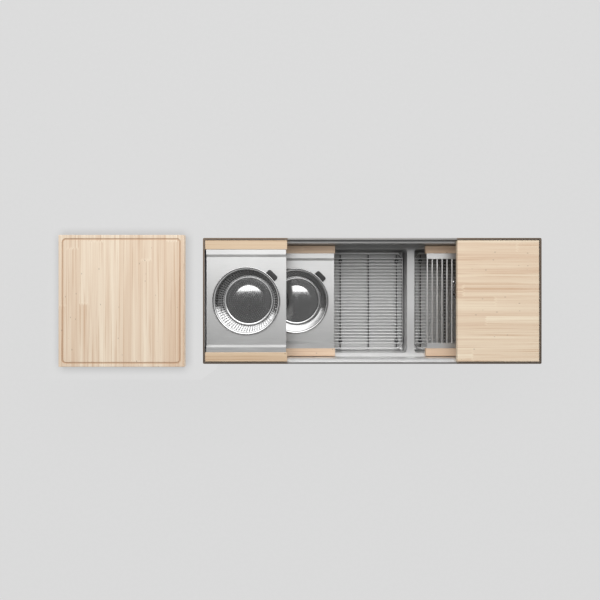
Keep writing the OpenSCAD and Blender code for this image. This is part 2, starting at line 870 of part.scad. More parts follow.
module bowl_grip() {
  low = tongue_z - grip_t / 2;
  color(silicone) rotate([0, 0, grip_angle]) difference() {
    translate([bowl_rim_r, 0, max(low, rest_gap)]) linear_extrude(grip_t) {
      rounded_rect(2 * grip_reach, grip_w, grip_r);
    }
    translate([0, 0, -grip_t]) cylinder(r = bowl_rim_r + close_fit, h = 4 * grip_t);
    translate([bowl_rim_r - grip_reach, -tongue_w / 2 - close_fit, tongue_z - tongue_t / 2 - close_fit]) {
      cube([2 * grip_reach - grip_skin + close_fit, tongue_w + 2 * close_fit, tongue_t + 2 * close_fit]);
    }
  }
}

function plate_level(ledge_z) = ledge_z + tool_h - strip_drop - dish_drop;

module colander_holes() {
  wall_low = -bowl_hang + bowl_base_bend;
  row_step = slot_h + slot_gap;
  translate([0, 0, -bowl_hang - past]) {
    cylinder(r = hole_r, h = bowl_t + base_disc_rise + 2 * past);
    for (ring = [1 : hole_rings]) for (i = [0 : holes_round * ring - 1]) {
      rotate([0, 0, i * 360 / (holes_round * ring)]) translate([ring * hole_ring_pitch, 0, 0]) {
        cylinder(r = hole_r, h = bowl_t + base_disc_rise + 2 * past);
      }
    }
  }
  for (row = [0 : slot_rows - 1]) for (i = [0 : slot_count - 1]) {
    rotate([0, 0, i * 360 / slot_count]) {
      translate([bend_x, -slot_w / 2, wall_low + row * row_step]) {
        cube([bowl_wall_r - bend_x + past, slot_w, slot_h]);
      }
    }
  }
}

module colander() {
  color(steel) translate([upper_caddy_x, 0, plate_level(upper_ledge_z)]) difference() {
    bowl_shell();
    colander_holes();
  }
}

module mixing_bowl() {
  color(steel) translate([lower_caddy_x, 0, plate_level(lower_ledge_z)]) bowl_shell();
}

// ---- Boards ----

module cutting_board() {
  color(maple) intersection() {
    along_x(cutting_board_x, tool_w) translate([-upper_half, upper_ledge_z]) {
      bevelled_rect(2 * upper_half, tool_h, wood_bevel);
    }
    translate([cutting_board_x, 0, 0]) along_y(opening_d) {
      translate([-tool_w / 2, upper_ledge_z]) bevelled_rect(tool_w, tool_h, wood_bevel);
    }
  }
}

module juice_groove() {
  w = board_w - 2 * juice_inset;
  d = board_d - 2 * juice_inset;
  translate([board_x, 0, worktop_z + board_h - juice_depth]) {
    linear_extrude(juice_depth + past) difference() {
      rounded_rect(w, d, juice_r);
      rounded_rect(w - 2 * juice_w, d - 2 * juice_w, juice_r - juice_w);
    }
  }
}

module grooved_board() {
  color(maple) difference() {
    intersection() {
      along_x(board_x, board_w) translate([-board_d / 2, worktop_z]) {
        bevelled_rect(board_d, board_h, wood_bevel);
      }
      translate([board_x, 0, 0]) along_y(board_d + 2 * past) {
        translate([-board_w / 2, worktop_z]) bevelled_rect(board_w, board_h, wood_bevel);
      }
    }
    juice_groove();
  }
}

// ---- Nodes ----

basin();
clip_rails();
sound_pads();
strainer_body(left_bowl_x);  // left_strainer_body
gasket(left_bowl_x);  // left_gasket
fibre_washer(left_bowl_x);  // left_fibre_washer
locknut(left_bowl_x);  // left_locknut
tailpiece(left_bowl_x);  // left_tailpiece
tailpiece_washer(left_bowl_x);  // left_tailpiece_washer
coupling_nut(left_bowl_x);  // left_coupling_nut
strainer_body(right_bowl_x);  // right_strainer_body
gasket(right_bowl_x);  // right_gasket
fibre_washer(right_bowl_x);  // right_fibre_washer
locknut(right_bowl_x);  // right_locknut
tailpiece(right_bowl_x);  // right_tailpiece
tailpiece_washer(right_bowl_x);  // right_tailpiece_washer
coupling_nut(right_bowl_x);  // right_coupling_nut
basket(left_bowl_x);  // left_basket
basket_seal(left_bowl_x);  // left_basket_seal
basket_knob(left_bowl_x);  // left_basket_knob
basket(right_bowl_x);  // right_basket
basket_seal(right_bowl_x);  // right_basket_seal
basket_knob(right_bowl_x);  // right_basket_knob
grid_wires(left_bowl_x, left_grid_half, left_cross);  // left_grid
grid_feet(left_bowl_x, left_grid_half, left_foot_cross);  // left_grid_feet
grid_wires(right_bowl_x, right_grid_half, right_cross);  // right_grid
grid_feet(right_bowl_x, right_grid_half, right_foot_cross);  // right_grid_feet
union() {  // upper_caddy_rear_rail
  rail(upper_caddy_x, upper_half, upper_rail_d, upper_ledge_z);
}
union() {  // upper_caddy_front_rail
  mirror([0, 1, 0]) rail(upper_caddy_x, upper_half, upper_rail_d, upper_ledge_z);
}
union() {  // upper_caddy_tray
  tray(upper_caddy_x, upper_half, upper_rail_d, upper_ledge_z);
}
union() {  // upper_caddy_screws
  rail_screws(upper_caddy_x, upper_half, upper_rail_d, upper_ledge_z);
}
union() {  // lower_caddy_rear_rail
  rail(lower_caddy_x, lower_half, lower_rail_d, lower_ledge_z);
}
union() {  // lower_caddy_front_rail
  mirror([0, 1, 0]) rail(lower_caddy_x, lower_half, lower_rail_d, lower_ledge_z);
}
union() {  // lower_caddy_tray
  tray(lower_caddy_x, lower_half, lower_rail_d, lower_ledge_z);
}
union() {  // lower_caddy_screws
  rail_screws(lower_caddy_x, lower_half, lower_rail_d, lower_ledge_z);
}
colander();
union() {  // colander_grip
  translate([upper_caddy_x, 0, plate_level(upper_ledge_z)]) bowl_grip();
}
mixing_bowl();
union() {  // mixing_bowl_grip
  translate([lower_caddy_x, 0, plate_level(lower_ledge_z)]) bowl_grip();
}
union() {  // rack_rear_rail
  rail(rack_x, lower_half, lower_rail_d, lower_ledge_z);
}
union() {  // rack_front_rail
  mirror([0, 1, 0]) rail(rack_x, lower_half, lower_rail_d, lower_ledge_z);
}
rack_channel(0);  // rack_rear_channel
rack_channel(1);  // rack_front_channel
rack_rods();
union() {  // rack_screws
  rail_screws(rack_x, lower_half, lower_rail_d, lower_ledge_z);
}
cutting_board();
grooved_board();
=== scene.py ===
"""The looks of the workstation kitchen sink: materials, smooth bowls and grips, stage and light.

Everything is in metres, in the row's frame: the origin is the centre of the opening on the top
plane of the rim, +X runs to the right, +Y to the back and +Z up.
"""

import itertools
import json
import math

import bmesh
import bpy
from mathutils import Matrix, Vector
from mathutils.geometry import delaunay_2d_cdt


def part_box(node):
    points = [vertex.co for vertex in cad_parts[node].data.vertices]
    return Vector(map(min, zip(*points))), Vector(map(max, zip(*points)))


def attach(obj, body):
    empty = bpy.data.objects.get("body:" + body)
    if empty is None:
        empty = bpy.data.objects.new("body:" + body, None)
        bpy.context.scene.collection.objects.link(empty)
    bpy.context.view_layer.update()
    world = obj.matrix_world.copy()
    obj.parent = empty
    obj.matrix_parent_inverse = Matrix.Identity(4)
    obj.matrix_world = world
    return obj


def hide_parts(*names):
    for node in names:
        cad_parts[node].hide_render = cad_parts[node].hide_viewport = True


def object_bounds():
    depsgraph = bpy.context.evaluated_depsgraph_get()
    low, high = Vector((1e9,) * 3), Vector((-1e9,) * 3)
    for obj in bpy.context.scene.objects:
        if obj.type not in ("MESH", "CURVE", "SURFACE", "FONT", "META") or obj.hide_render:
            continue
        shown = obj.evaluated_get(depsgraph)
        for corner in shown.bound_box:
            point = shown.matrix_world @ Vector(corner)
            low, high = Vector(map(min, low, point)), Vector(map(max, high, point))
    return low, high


# Camera: straight down, above the left bowl
CAMERA_PLACE = (-0.200, 0.0033, 2.5)
CAMERA_LENS = 40.7
CAMERA_SHIFT = -0.03
CAMERA_CLIP = (0.05, 60.0)

# Stage: a floor below the tailpieces, and a plinth that carries the separate board
FLOOR_REACH = 12.0
FLOOR_THICK = 0.1
FLOOR_TONE = 0.715
FLOOR_SPECK = 0.004
FLOOR_GLOW = 0.94
FLOOR_DROP = 0.003
CONTACT_SHADE = 0.26
CONTACT_REACH = 0.035
CONTACT_FULL = 0.5
PLINTH_MARGIN = 0.05
PLINTH_RIGHT_GAP = 0.009

# Light: the world's levels, how far to the front and back they run, the heights between which it
# turns dark overhead, and the lamp's place, target, size and brightness
WORLD_TOP = 0.15
WORLD_FRONT = 0.62
WORLD_BACK = 1.30
WORLD_TURN = 0.7
DARK_CONE = (0.64, 0.86)
SOFTBOX = ((-0.25, 1.52, 2.6), (-0.25, 1.52, 0.0), (3.0, 2.2), 2.75)

# The range that a noise mostly keeps to
NOISE_RANGE = (0.3, 0.7)

# Steel: how much the brush lines change its roughness, and the sum of its two noises at which its
# tone is lightest
BRUSH_ROUGH = (-0.03, 0.04)
SHADE_FULL = 0.06

# The basin's painted shade towards the back, standing for the back wall's shadow on the floor: how
# much of its tone it keeps, and where on Y that painted shade starts and is full
BACK_PAINTED_SHADE = 0.54
BACK_FROM = -0.02
BACK_TO = 0.20

# The basin's rim: the half sizes outside and the height above which the sheet is rim, its painted
# shade in the open middle, and where on X that painted shade gives way to the painted brown
# reflection of the wood
RIM_HALF_X = 0.6183
RIM_HALF_Y = 0.2263
RIM_LOW = -0.0014
RIM_PAINTED_SHADE = (0.30, 0.29, 0.28)
WOOD_REFLECTION_X = (0.310, 0.314)

# The grids: the height where the upper bars begin, and the end on Y of the wires below that get a
# painted shade
GRID_BARS_LOW = -0.2362
GRID_END = 0.187

# Wood: how many noise steps fit a metre, for the wander of the seams, and along and across the
# grain for bands, grain and fine grain
WAVE_SCALE = 9.0
BAND_SCALE = (0.9, 42.0)
GRAIN_SCALE = (2.4, 190.0)
FINE_SCALE = (14.0, 700.0)

# Wood: how far the seams wander in widths of a strip, how many blocks a strip's joints may be
# shifted by, how far apart the blocks lie in the noises, the pitch and length of the joints'
# fingers, the length of the line at a joint, and the specks
WAVE_SHIFT = 0.3
ROW_SHIFT = 7.0
STRIP_OFFSET = 5.0
FINGER_PITCH = 0.005
FINGER_LONG = 0.008
JOINT_LONG = 0.006
SPECK_SCALE = 24.0
SPECK_NARROW = 2.2
SPECK_SIZE = (0.045, 0.10)
SPECK_RARE = 0.45

# Wood: how far the blocks, bands and grain shift the tone from light to dark, between which noise
# levels bands and lines show, and how strong each mark is
BLOCK_SHIFT = 0.34
BAND_SHIFT = 0.66
GRAIN_SHIFT = (-0.10, 0.16)
BAND_RANGE = (0.32, 0.68)
GRAIN_LINES = (0.56, 0.68)
FINE_LINES = (0.55, 0.8)
SEAM_FROM = 0.488
GRAIN_MARK = 0.70
FINE_MARK = 0.26
SEAM_MARK = 0.55
JOINT_MARK = 0.30
SPECK_MARK = 0.70
WOOD_ROUGH = (0.46, 0.60)
DEEP_SHARES = (0.84, 0.74, 0.64)
LIGHT_MAPLE = (0.76, 0.60, 0.42)
# A lighter copy of the maple for the lower rails, with light painted in against their shade deep in
# the sink
MAPLE_PAINTED_LIGHT = (0.90, 0.70, 0.52)
PINK_MAPLE = (0.68, 0.50, 0.355)

# The juice groove: how far inside the edge and below the top its surfaces lie, and how dark its
# painted shade is
GROOVE_EDGE = 0.006
GROOVE_BELOW = 0.0006
GROOVE_SHADE = 0.62

# Places and sizes of the two bowls, repeated from the solids
COLANDER_CENTRE = (-0.4655, 0.0, -0.014)
MIXING_BOWL_CENTRE = (-0.2855, 0.0, -0.122)
BOWL_RIM_R = 0.127
BEAD_R = 0.0027
BEAD_LOW = 0.0003
WALL_TOP_R = 0.119
WALL_SLOPE = math.radians(14.5)
BASE_BEND = 0.010
BEND_STEPS = 8
RIM_FILLET = 0.003
FILLET_STEPS = 5
HANG = 0.093
SHEET = 0.001
RIM_TOP = 0.0052
BASE_RING = 0.002
BASE_DISC_RISE = 0.0015
BASE_DOME = 0.0030
DOME_R = 0.061
# The dome's edge runs out into the flat between these shares of its radius. DOME_BLEND makes the
# two curves meet at the first.
DOME_BLEND_FROM = 0.95
DOME_BLEND_TO = 1.05
DOME_BLEND = 9.75
DISC_SHARES = (0.9, 0.82, 0.77, 0.74, 0.71, 0.68, 0.62, 0.54, 0.45, 0.35, 0.25, 0.15, 0.06)
HOLE_R = 0.0015
HOLE_PITCH = 0.0074
HOLE_RINGS = 10
RING_HOLES = 6
HOLE_SIDES = 10
MERGE_WITHIN = 1e-7
SLOTS = 72
SLOT_STEPS = 5
SLOT_ROWS = 3
SLOT_TALL = 0.022
SLOT_GAP = 0.004
SLOT_SHARE = 0.30
SLOT_START = -HANG + BASE_BEND
BEAD_STEPS = 14
BEAD_AROUND = 180
GRIP_ANGLE = math.radians(45)
GRIP_OUT = 0.018
GRIP_WIDTH = 0.044
GRIP_THICK = 0.0065
GRIP_MIDDLE = 0.00355
GRIP_CLEAR = 0.0001
GRIP_CORNER = 0.008
GRIP_EDGE = 0.0016

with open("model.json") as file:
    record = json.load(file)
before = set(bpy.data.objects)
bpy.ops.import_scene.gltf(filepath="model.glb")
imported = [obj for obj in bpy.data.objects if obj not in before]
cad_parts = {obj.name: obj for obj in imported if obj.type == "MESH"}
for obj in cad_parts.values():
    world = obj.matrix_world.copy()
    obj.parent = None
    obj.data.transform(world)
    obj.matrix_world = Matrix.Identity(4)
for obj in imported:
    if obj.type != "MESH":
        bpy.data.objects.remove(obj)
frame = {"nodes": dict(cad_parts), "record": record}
NODES = frame["nodes"]
CAD_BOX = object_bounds()


# ---- Node helpers ----


class Graph:
    """Short calls for building one material's or the world's nodes."""

    def __init__(self, tree):
        self.tree = tree
        tree.nodes.clear()

    def add(self, kind, inputs=(), **settings):
        node = self.tree.nodes.new(kind)
        for key, value in settings.items():
            setattr(node, key, value)
        for key, value in dict(inputs).items():
            self.feed(node.inputs[key], value)
        return node

    def feed(self, socket, value):
        """A socket gets either a number, a colour or another node's output."""
        if isinstance(value, bpy.types.NodeSocket):
            self.tree.links.new(value, socket)
        elif hasattr(value, "__len__") and len(value) == 3 and socket.type == "RGBA":
            socket.default_value = (*value, 1.0)
        else:
            socket.default_value = value

    def place(self, scale=(1, 1, 1), offset=(0, 0, 0)):
        """Points of the row's frame, scaled for a texture."""
        where = self.add("ShaderNodeTexCoord").outputs["Object"]
        inputs = {"Vector": where, "Scale": scale, "Location": offset}
        return self.add("ShaderNodeMapping", inputs).outputs["Vector"]

    def noise(self, vector, scale, detail=3.0, rough=0.5, distort=0.0):
        inputs = {
            "Vector": vector,
            "Scale": scale,
            "Detail": detail,
            "Roughness": rough,
            "Distortion": distort,
        }
        return self.add("ShaderNodeTexNoise", inputs).outputs["Fac"]

    def span(self, value, low, high, to_low=0.0, to_high=1.0):
        inputs = {
            "Value": value,
            "From Min": low,
            "From Max": high,
            "To Min": to_low,
            "To Max": to_high,
        }
        return self.add("ShaderNodeMapRange", inputs).outputs["Result"]

    def sway(self, noise, to_low=0.0, to_high=1.0):
        """The usual range of a noise, spread from to_low to to_high."""
        return self.span(noise, *NOISE_RANGE, to_low, to_high)

    def math(self, operation, a, b=0.0):
        node = self.add("ShaderNodeMath", operation=operation)
        self.feed(node.inputs[0], a)
        self.feed(node.inputs[1], b)
        return node.outputs["Value"]

    def axes(self, vector):
        node = self.add("ShaderNodeSeparateXYZ", {"Vector": vector})
        return node.outputs["X"], node.outputs["Y"], node.outputs["Z"]

    def join(self, x, y, z=0.0):
        node = self.add("ShaderNodeCombineXYZ", {"X": x, "Y": y, "Z": z})
        return node.outputs["Vector"]

    def mix(self, share, a, b):
        node = self.add("ShaderNodeMix", data_type="RGBA")
        self.feed(node.inputs["Factor"], share)
        self.feed(node.inputs["A"], a)
        self.feed(node.inputs["B"], b)
        return node.outputs["Result"]

    def border(self, value, low):
        """1 where the value is a whole number, and 0 up to the distance low from halfway."""
        apart = self.math("ABSOLUTE", self.math("SUBTRACT", self.math("FRACT", value), 0.5))
        return self.span(apart, low, 0.5)

    def cover(self, colour, mask, strength, over):
        """The colour with another over it, where the mask is 1, by the share strength."""
        return self.mix(self.math("MULTIPLY", mask, strength), colour, over)

    def bump(self, height, strength, distance):
        inputs = {"Height": height, "Strength": strength, "Distance": distance}
        return self.add("ShaderNodeBump", inputs).outputs["Normal"]

    def surface(self, **inputs):
        """A Principled shader as the material's surface. Underscores stand for spaces."""
        named = {key.replace("_", " "): value for key, value in inputs.items()}
        shader = self.add("ShaderNodeBsdfPrincipled", named)
        out = self.add("ShaderNodeOutputMaterial")
        self.tree.links.new(shader.outputs["BSDF"], out.inputs["Surface"])


def new_material(name):
    material = bpy.data.materials.new(name)
    material.use_nodes = True
    return material, Graph(material.node_tree)


def tinted(tone, share):
    """The tone, lighter or darker by the share."""
    return [min(1, c * share) for c in tone]


# ---- Materials ----


def brushed_steel(name, tone, rough, lines, stretch, mark=0.03, dent=0.015):
    """Steel with brush lines. stretch holds the scale along each axis: small along the lines."""
    material, g = new_material(name)
    brush = g.noise(g.place(scale=stretch), lines, detail=4.0, rough=0.62)
    cloud = g.noise(g.place(), 7.0, detail=3.0)
    shade = g.math("ADD", g.sway(brush, -mark, mark), g.sway(cloud, -mark, mark))
    share = g.span(shade, -SHADE_FULL, SHADE_FULL)
    colour = g.mix(share, tinted(tone, 0.93), tinted(tone, 1.06))
    g.surface(
        Base_Color=colour,
        Metallic=1.0,
        Roughness=g.math("ADD", rough, g.sway(brush, *BRUSH_ROUGH)),
        Normal=g.bump(brush, dent, 0.0004),
    )
    return material


def rim_steel(name, tone, rough, dark):
    """The basin's sheet: brushed steel with a painted shade that darkens it towards the back. Its
    slim rounded rim is painted dark as shade, and brown beside the wood as a painted reflection of
    the wood.
    """
    material, g = new_material(name)
    brush = g.noise(g.place(scale=(2.0, 60.0, 60.0)), 9.0, detail=4.0, rough=0.6)
    cloud = g.noise(g.place(), 3.0, detail=3.0)
    x, y, z = g.axes(g.place())
    outside = g.math(
        "MAXIMUM",
        g.math("GREATER_THAN", g.math("ABSOLUTE", x), RIM_HALF_X),
        g.math("GREATER_THAN", g.math("ABSOLUTE", y), RIM_HALF_Y),
    )
    on_rim = g.math("MULTIPLY", outside, g.math("GREATER_THAN", z, RIM_LOW))
    sheet = g.mix(g.sway(cloud), tinted(tone, 0.96), tone)
    # Painted shade: the sheet darkens towards the back, standing for the back wall's shadow
    sheet = g.mix(g.span(y, BACK_FROM, BACK_TO), sheet, tinted(tone, BACK_PAINTED_SHADE))
    # The rim is painted dark as shade, and brown beside the wood as a painted reflection of the
    # wood
    wood_reflection_share = g.span(g.math("ABSOLUTE", x), *WOOD_REFLECTION_X)
    g.surface(
        Base_Color=g.mix(on_rim, sheet, g.mix(wood_reflection_share, RIM_PAINTED_SHADE, dark)),
        Metallic=1.0,
        Roughness=g.math("ADD", rough, g.sway(brush, *BRUSH_ROUGH)),
        Normal=g.bump(brush, 0.012, 0.0003),
    )
    return material


def wire_steel(name, tone, rough, painted_shade_tone):
    """The grids' wire: light bars, and a frame and cross wires below whose shade is painted in as a
    darker tone.
    """
    material, g = new_material(name)
    draw = g.noise(g.place(scale=(8.0, 8.0, 8.0)), 14.0, detail=4.0, rough=0.62)
    _, y, z = g.axes(g.place())
    low = g.math("LESS_THAN", z, GRID_BARS_LOW)
    between = g.math("LESS_THAN", g.math("ABSOLUTE", y), GRID_END)
    # Painted shade: the frame and cross wires below take a darker copy of the steel
    shaded = g.mix(g.sway(draw), tinted(painted_shade_tone, 0.9), painted_shade_tone)
    bright = g.mix(g.sway(draw), tinted(tone, 0.94), tone)
    g.surface(
        Base_Color=g.mix(g.math("MULTIPLY", low, between), bright, shaded),
        Metallic=1.0,
        Roughness=g.math("ADD", rough, g.sway(draw, *BRUSH_ROUGH)),
        Normal=g.bump(draw, 0.015, 0.0004),
    )
    return material


def groove_share(g):
    """1 on the walls and the bottom of the separate board's juice groove, and 0 elsewhere."""
    low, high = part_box("grooved_board")
    middle = (low + high) / 2
    half = (high - low) / 2
    x, y, z = g.axes(g.place())
    across_x = g.math("ABSOLUTE", g.math("SUBTRACT", x, middle.x))
    across_y = g.math("ABSOLUTE", g.math("SUBTRACT", y, middle.y))
    inside_x = g.math("LESS_THAN", across_x, half.x - GROOVE_EDGE)
    inside_y = g.math("LESS_THAN", across_y, half.y - GROOVE_EDGE)
    below = g.math("LESS_THAN", z, high.z - GROOVE_BELOW)
    return g.math("MULTIPLY", below, g.math("MULTIPLY", inside_x, inside_y))


def wood_layout(g, run, cross, strip, block, seed):
    """Strips side by side, each made of blocks with finger joints.

    It gives a random number for each block, and masks that are 1 on the seams and on the joints.
    """
    wave = g.noise(g.join(0.0, g.math("MULTIPLY", cross, WAVE_SCALE)), 1.0, detail=1.0)
    wander = g.sway(wave, -WAVE_SHIFT, WAVE_SHIFT)
    placed_cross = g.math("ADD", g.math("DIVIDE", cross, strip), wander)
    row = g.math("FLOOR", placed_cross)
    row_random = g.add("ShaderNodeTexWhiteNoise", {"W": row}, noise_dimensions="1D")
    shift = g.math("MULTIPLY", row_random.outputs["Value"], ROW_SHIFT)
    fingers = g.math("PINGPONG", g.math("DIVIDE", cross, FINGER_PITCH), 1.0)
    placed = g.math("ADD", g.math("DIVIDE", run, block), shift)
    placed = g.math("ADD", placed, g.math("MULTIPLY", fingers, FINGER_LONG / block))
    block_place = g.join(row, g.math("FLOOR", placed), seed)
    tint = g.add("ShaderNodeTexWhiteNoise", {"Vector": block_place}, noise_dimensions="3D")
    seam = g.border(placed_cross, SEAM_FROM)
    joint = g.border(placed, 0.5 - JOINT_LONG / block)
    return tint.outputs["Value"], seam, joint


def wood_specks(g, run, cross, z):
    """A mask that is 1 on small specks, drawn out along the grain."""
    place = g.join(run, g.math("MULTIPLY", cross, SPECK_NARROW), z)
    cells = g.add("ShaderNodeTexVoronoi", {"Vector": place, "Scale": SPECK_SCALE})
    speck = g.span(cells.outputs["Distance"], *SPECK_SIZE, 1.0, 0.0)
    chosen = g.math("GREATER_THAN", g.axes(cells.outputs["Color"])[0], SPECK_RARE)
    return g.math("MULTIPLY", speck, chosen)


def wood(name, light, dark, along, strip, block, seed, grooved=False):
    """Oiled maple, laminated from strips. along is the grain's axis, 0 for X and 1 for Y."""
    material, g = new_material(name)
    x, y, z = g.axes(g.place(offset=(seed, seed, 0)))
    run, cross = (x, y) if along == 0 else (y, x)
    tint, seam, joint = wood_layout(g, run, cross, strip, block, seed)
    apart = g.math("MULTIPLY", tint, STRIP_OFFSET)
    places = []
    for scale in (BAND_SCALE, GRAIN_SCALE):
        across = g.math("ADD", g.math("MULTIPLY", cross, scale[1]), apart)
        places.append(g.join(g.math("MULTIPLY", run, scale[0]), across, z))
    band = g.noise(places[0], 1.0, detail=3.0, rough=0.55, distort=0.25)
    grain = g.noise(places[1], 1.0, detail=4.0, rough=0.6, distort=0.3)
    fine_across = [g.math("MULTIPLY", axis, FINE_SCALE[1]) for axis in (cross, z)]
    fine_place = g.join(g.math("MULTIPLY", run, FINE_SCALE[0]), *fine_across)
    fine = g.noise(fine_place, 1.0, detail=3.0, rough=0.7)

    share = g.math("MULTIPLY", tint, BLOCK_SHIFT)
    share = g.math("ADD", share, g.span(band, *BAND_RANGE, 0.0, BAND_SHIFT))
    share = g.math("ADD", share, g.sway(grain, *GRAIN_SHIFT))
    colour = g.mix(share, light, dark)
    deep = [c * part for c, part in zip(dark, DEEP_SHARES)]
    colour = g.cover(colour, g.span(grain, *GRAIN_LINES), GRAIN_MARK, deep)
    colour = g.cover(colour, g.span(fine, *FINE_LINES), FINE_MARK, deep)
    colour = g.cover(colour, seam, SEAM_MARK, deep)
    colour = g.cover(colour, joint, JOINT_MARK, tinted(light, 1.04))
    colour = g.cover(colour, wood_specks(g, run, cross, z), SPECK_MARK, tinted(dark, 0.42))
    # Painted shade in the recess of the juice groove
    if grooved:
        colour = g.cover(colour, groove_share(g), GROOVE_SHADE, deep)
    g.surface(
        Base_Color=colour,
        Roughness=g.sway(fine, *WOOD_ROUGH),
        Normal=g.bump(g.math("SUBTRACT", fine, seam), 0.10, 0.0005),
    )
    return material


def rubber(name, tone, rough, grain_scale):
    """Moulded rubber, silicone or plastic with a fine grain."""
    material, g = new_material(name)
    grain = g.noise(g.place(), grain_scale, detail=3.0)
    cloud = g.noise(g.place(), 30.0)
    colour = g.mix(g.sway(cloud), tinted(tone, 0.8), tinted(tone, 1.25))
    g.surface(
        Base_Color=colour,
        Roughness=g.math("ADD", rough, g.sway(grain, -0.06, 0.06)),
        Normal=g.bump(grain, 0.25, 0.0002),
    )
    return material


MATERIALS = {
    "brushed_steel": brushed_steel("tray_steel", (0.66, 0.66, 0.655), 0.42, 6.0, (2.0, 60.0, 60.0)),
    "basin_steel": rim_steel("basin_steel", (0.72, 0.72, 0.715), 0.44, (0.17, 0.125, 0.09)),
    "bowl_steel": brushed_steel(
        "bowl_steel", (0.62, 0.62, 0.62), 0.11, 12.0, (6.0, 6.0, 60.0), mark=0.015, dent=0.004
    ),
    "polished_steel": brushed_steel(
        "strainer_steel", (0.66, 0.66, 0.655), 0.16, 10.0, (8.0, 8.0, 40.0)
    ),
    "wire_steel": wire_steel("wire_steel", (0.74, 0.74, 0.735), 0.34, (0.16, 0.16, 0.16)),
    # The rack's rods: a lighter copy of the wire's steel, with light painted in against the cutting
    # board's shade
    "rod_steel_painted_light": brushed_steel("rod_steel_painted_light", (0.84, 0.83, 0.82), 0.30, 14.0, (8.0, 8.0, 8.0)),
    "galvanised_steel": brushed_steel(
        "zinc", (0.48, 0.49, 0.50), 0.42, 18.0, (3.0, 3.0, 3.0), mark=0.05, dent=0.05
    ),
    "plated_metal": brushed_steel("plated_metal", (0.58, 0.57, 0.55), 0.24, 12.0, (5.0, 5.0, 30.0)),
    "screw_steel": brushed_steel("screw_steel", (0.5, 0.5, 0.49), 0.3, 20.0, (4.0, 4.0, 4.0)),
    "maple": wood("maple", LIGHT_MAPLE, (0.56, 0.39, 0.25), 0, 0.034, 0.75, 3.1),
    "maple_painted_light": wood("maple_painted_light", MAPLE_PAINTED_LIGHT, (0.68, 0.47, 0.32), 0, 0.034, 0.75, 3.1),
    "maple_board": wood("maple_board", (0.87, 0.755, 0.58), PINK_MAPLE, 0, 0.040, 0.80, 7.7),
    "grooved_maple": wood(
        "grooved_maple", (0.90, 0.79, 0.635), PINK_MAPLE, 1, 0.045, 0.85, 5.3, grooved=True
    ),
    "black_silicone": rubber("black_silicone", (0.028, 0.028, 0.028), 0.5, 900.0),
    "black_rubber": rubber("black_rubber", (0.035, 0.035, 0.035), 0.6, 700.0),
    "damping_rubber": rubber("damping_rubber", (0.10, 0.10, 0.105), 0.75, 260.0),
    "black_plastic": rubber("black_plastic", (0.04, 0.04, 0.04), 0.35, 500.0),
    "fibre": rubber("fibre", (0.42, 0.29, 0.17), 0.8, 400.0),
}
SLOT_OF = {row["node"]: row["material_slot"] for row in frame["record"]["subparts"]}
# Nodes whose finish isn't the one that their slot names. The rack's rods and the lower rails take
# lighter copies of their steel and maple, with light painted in against their shade.
FINISH_OF = {
    "basin": "basin_steel",
    "rack_rods": "rod_steel_painted_light",
    "lower_caddy_rear_rail": "maple_painted_light",
    "lower_caddy_front_rail": "maple_painted_light",
    "rack_rear_rail": "maple_painted_light",
    "rack_front_rail": "maple_painted_light",
}


def dress_nodes():
    """Each solid from the CAD gets its finish."""
    for name, node in NODES.items():
        chosen = MATERIALS[FINISH_OF.get(name, SLOT_OF[name])]
        node.data.materials.clear()
        node.data.materials.append(chosen)


# ---- Smooth bowls and grips ----


def circle_points(radius, count, z=0.0):
    turns = [2 * math.pi * i / count for i in range(count)]
    return [(radius * math.cos(a), radius * math.sin(a), z) for a in turns]


def add_band(mesh, low, high, skip=0):
    """Faces between two rings of vertices. With skip, the first of every skip faces stays open."""
    for i in range(len(low)):
        if skip and i % skip == 0:
            continue
        j = (i + 1) % len(low)
        mesh.faces.new((low[i], low[j], high[j], high[i]))


def wall_profile():
    """Points (radius, height) up the outside of the bowl, and the radius of its base disc."""
    drop = RIM_TOP + HANG - BASE_BEND * (1 - math.sin(WALL_SLOPE))
    bend_x = WALL_TOP_R - BASE_BEND * math.cos(WALL_SLOPE) - drop * math.tan(WALL_SLOPE)
    disc = bend_x - BASE_RING - BASE_DISC_RISE
    points = []
    for share in (0.0, 0.5, 1.0):
        points.append((disc + BASE_DISC_RISE * share, -HANG + BASE_DISC_RISE * (1 - share)))
    for i in range(BEND_STEPS + 1):
        a = -math.pi / 2 + (math.pi / 2 - WALL_SLOPE) * i / BEND_STEPS
        z = -HANG + BASE_BEND + BASE_BEND * math.sin(a)
        points.append((bend_x + BASE_BEND * math.cos(a), z))
    low = points[-1]
    high = (WALL_TOP_R - RIM_FILLET * math.tan(WALL_SLOPE), RIM_TOP - RIM_FILLET)
    starts = [SLOT_START + row * (SLOT_TALL + SLOT_GAP) for row in range(SLOT_ROWS)]
    levels = [start + f * SLOT_TALL for start in starts for f in (0.0, 0.5, 1.0)]
    levels.append(high[1])
    for z in levels:
        share = (z - low[1]) / (high[1] - low[1])
        points.append((low[0] + (high[0] - low[0]) * share, z))
    for i in range(1, FILLET_STEPS + 1):
        a = (math.pi / 2 - WALL_SLOPE) * i / FILLET_STEPS
        up = RIM_FILLET * math.sin(a)
        out = RIM_FILLET * (1 - math.cos(a)) + up * math.tan(WALL_SLOPE)
        points.append((high[0] + out, high[1] + up))
    points.append((BOWL_RIM_R - BEAD_R, RIM_TOP))
    return points, disc


def ring_angles():
    """Angles round the bowl: each slot has its own narrow step."""
    turn = 2 * math.pi / SLOTS
    plain = SLOT_STEPS - 1
    shares = [SLOT_SHARE / 2 + (1 - SLOT_SHARE) * i / plain for i in range(plain)]
    shares.insert(0, -SLOT_SHARE / 2)
    return [turn * (i + share) for i in range(SLOTS) for share in shares]


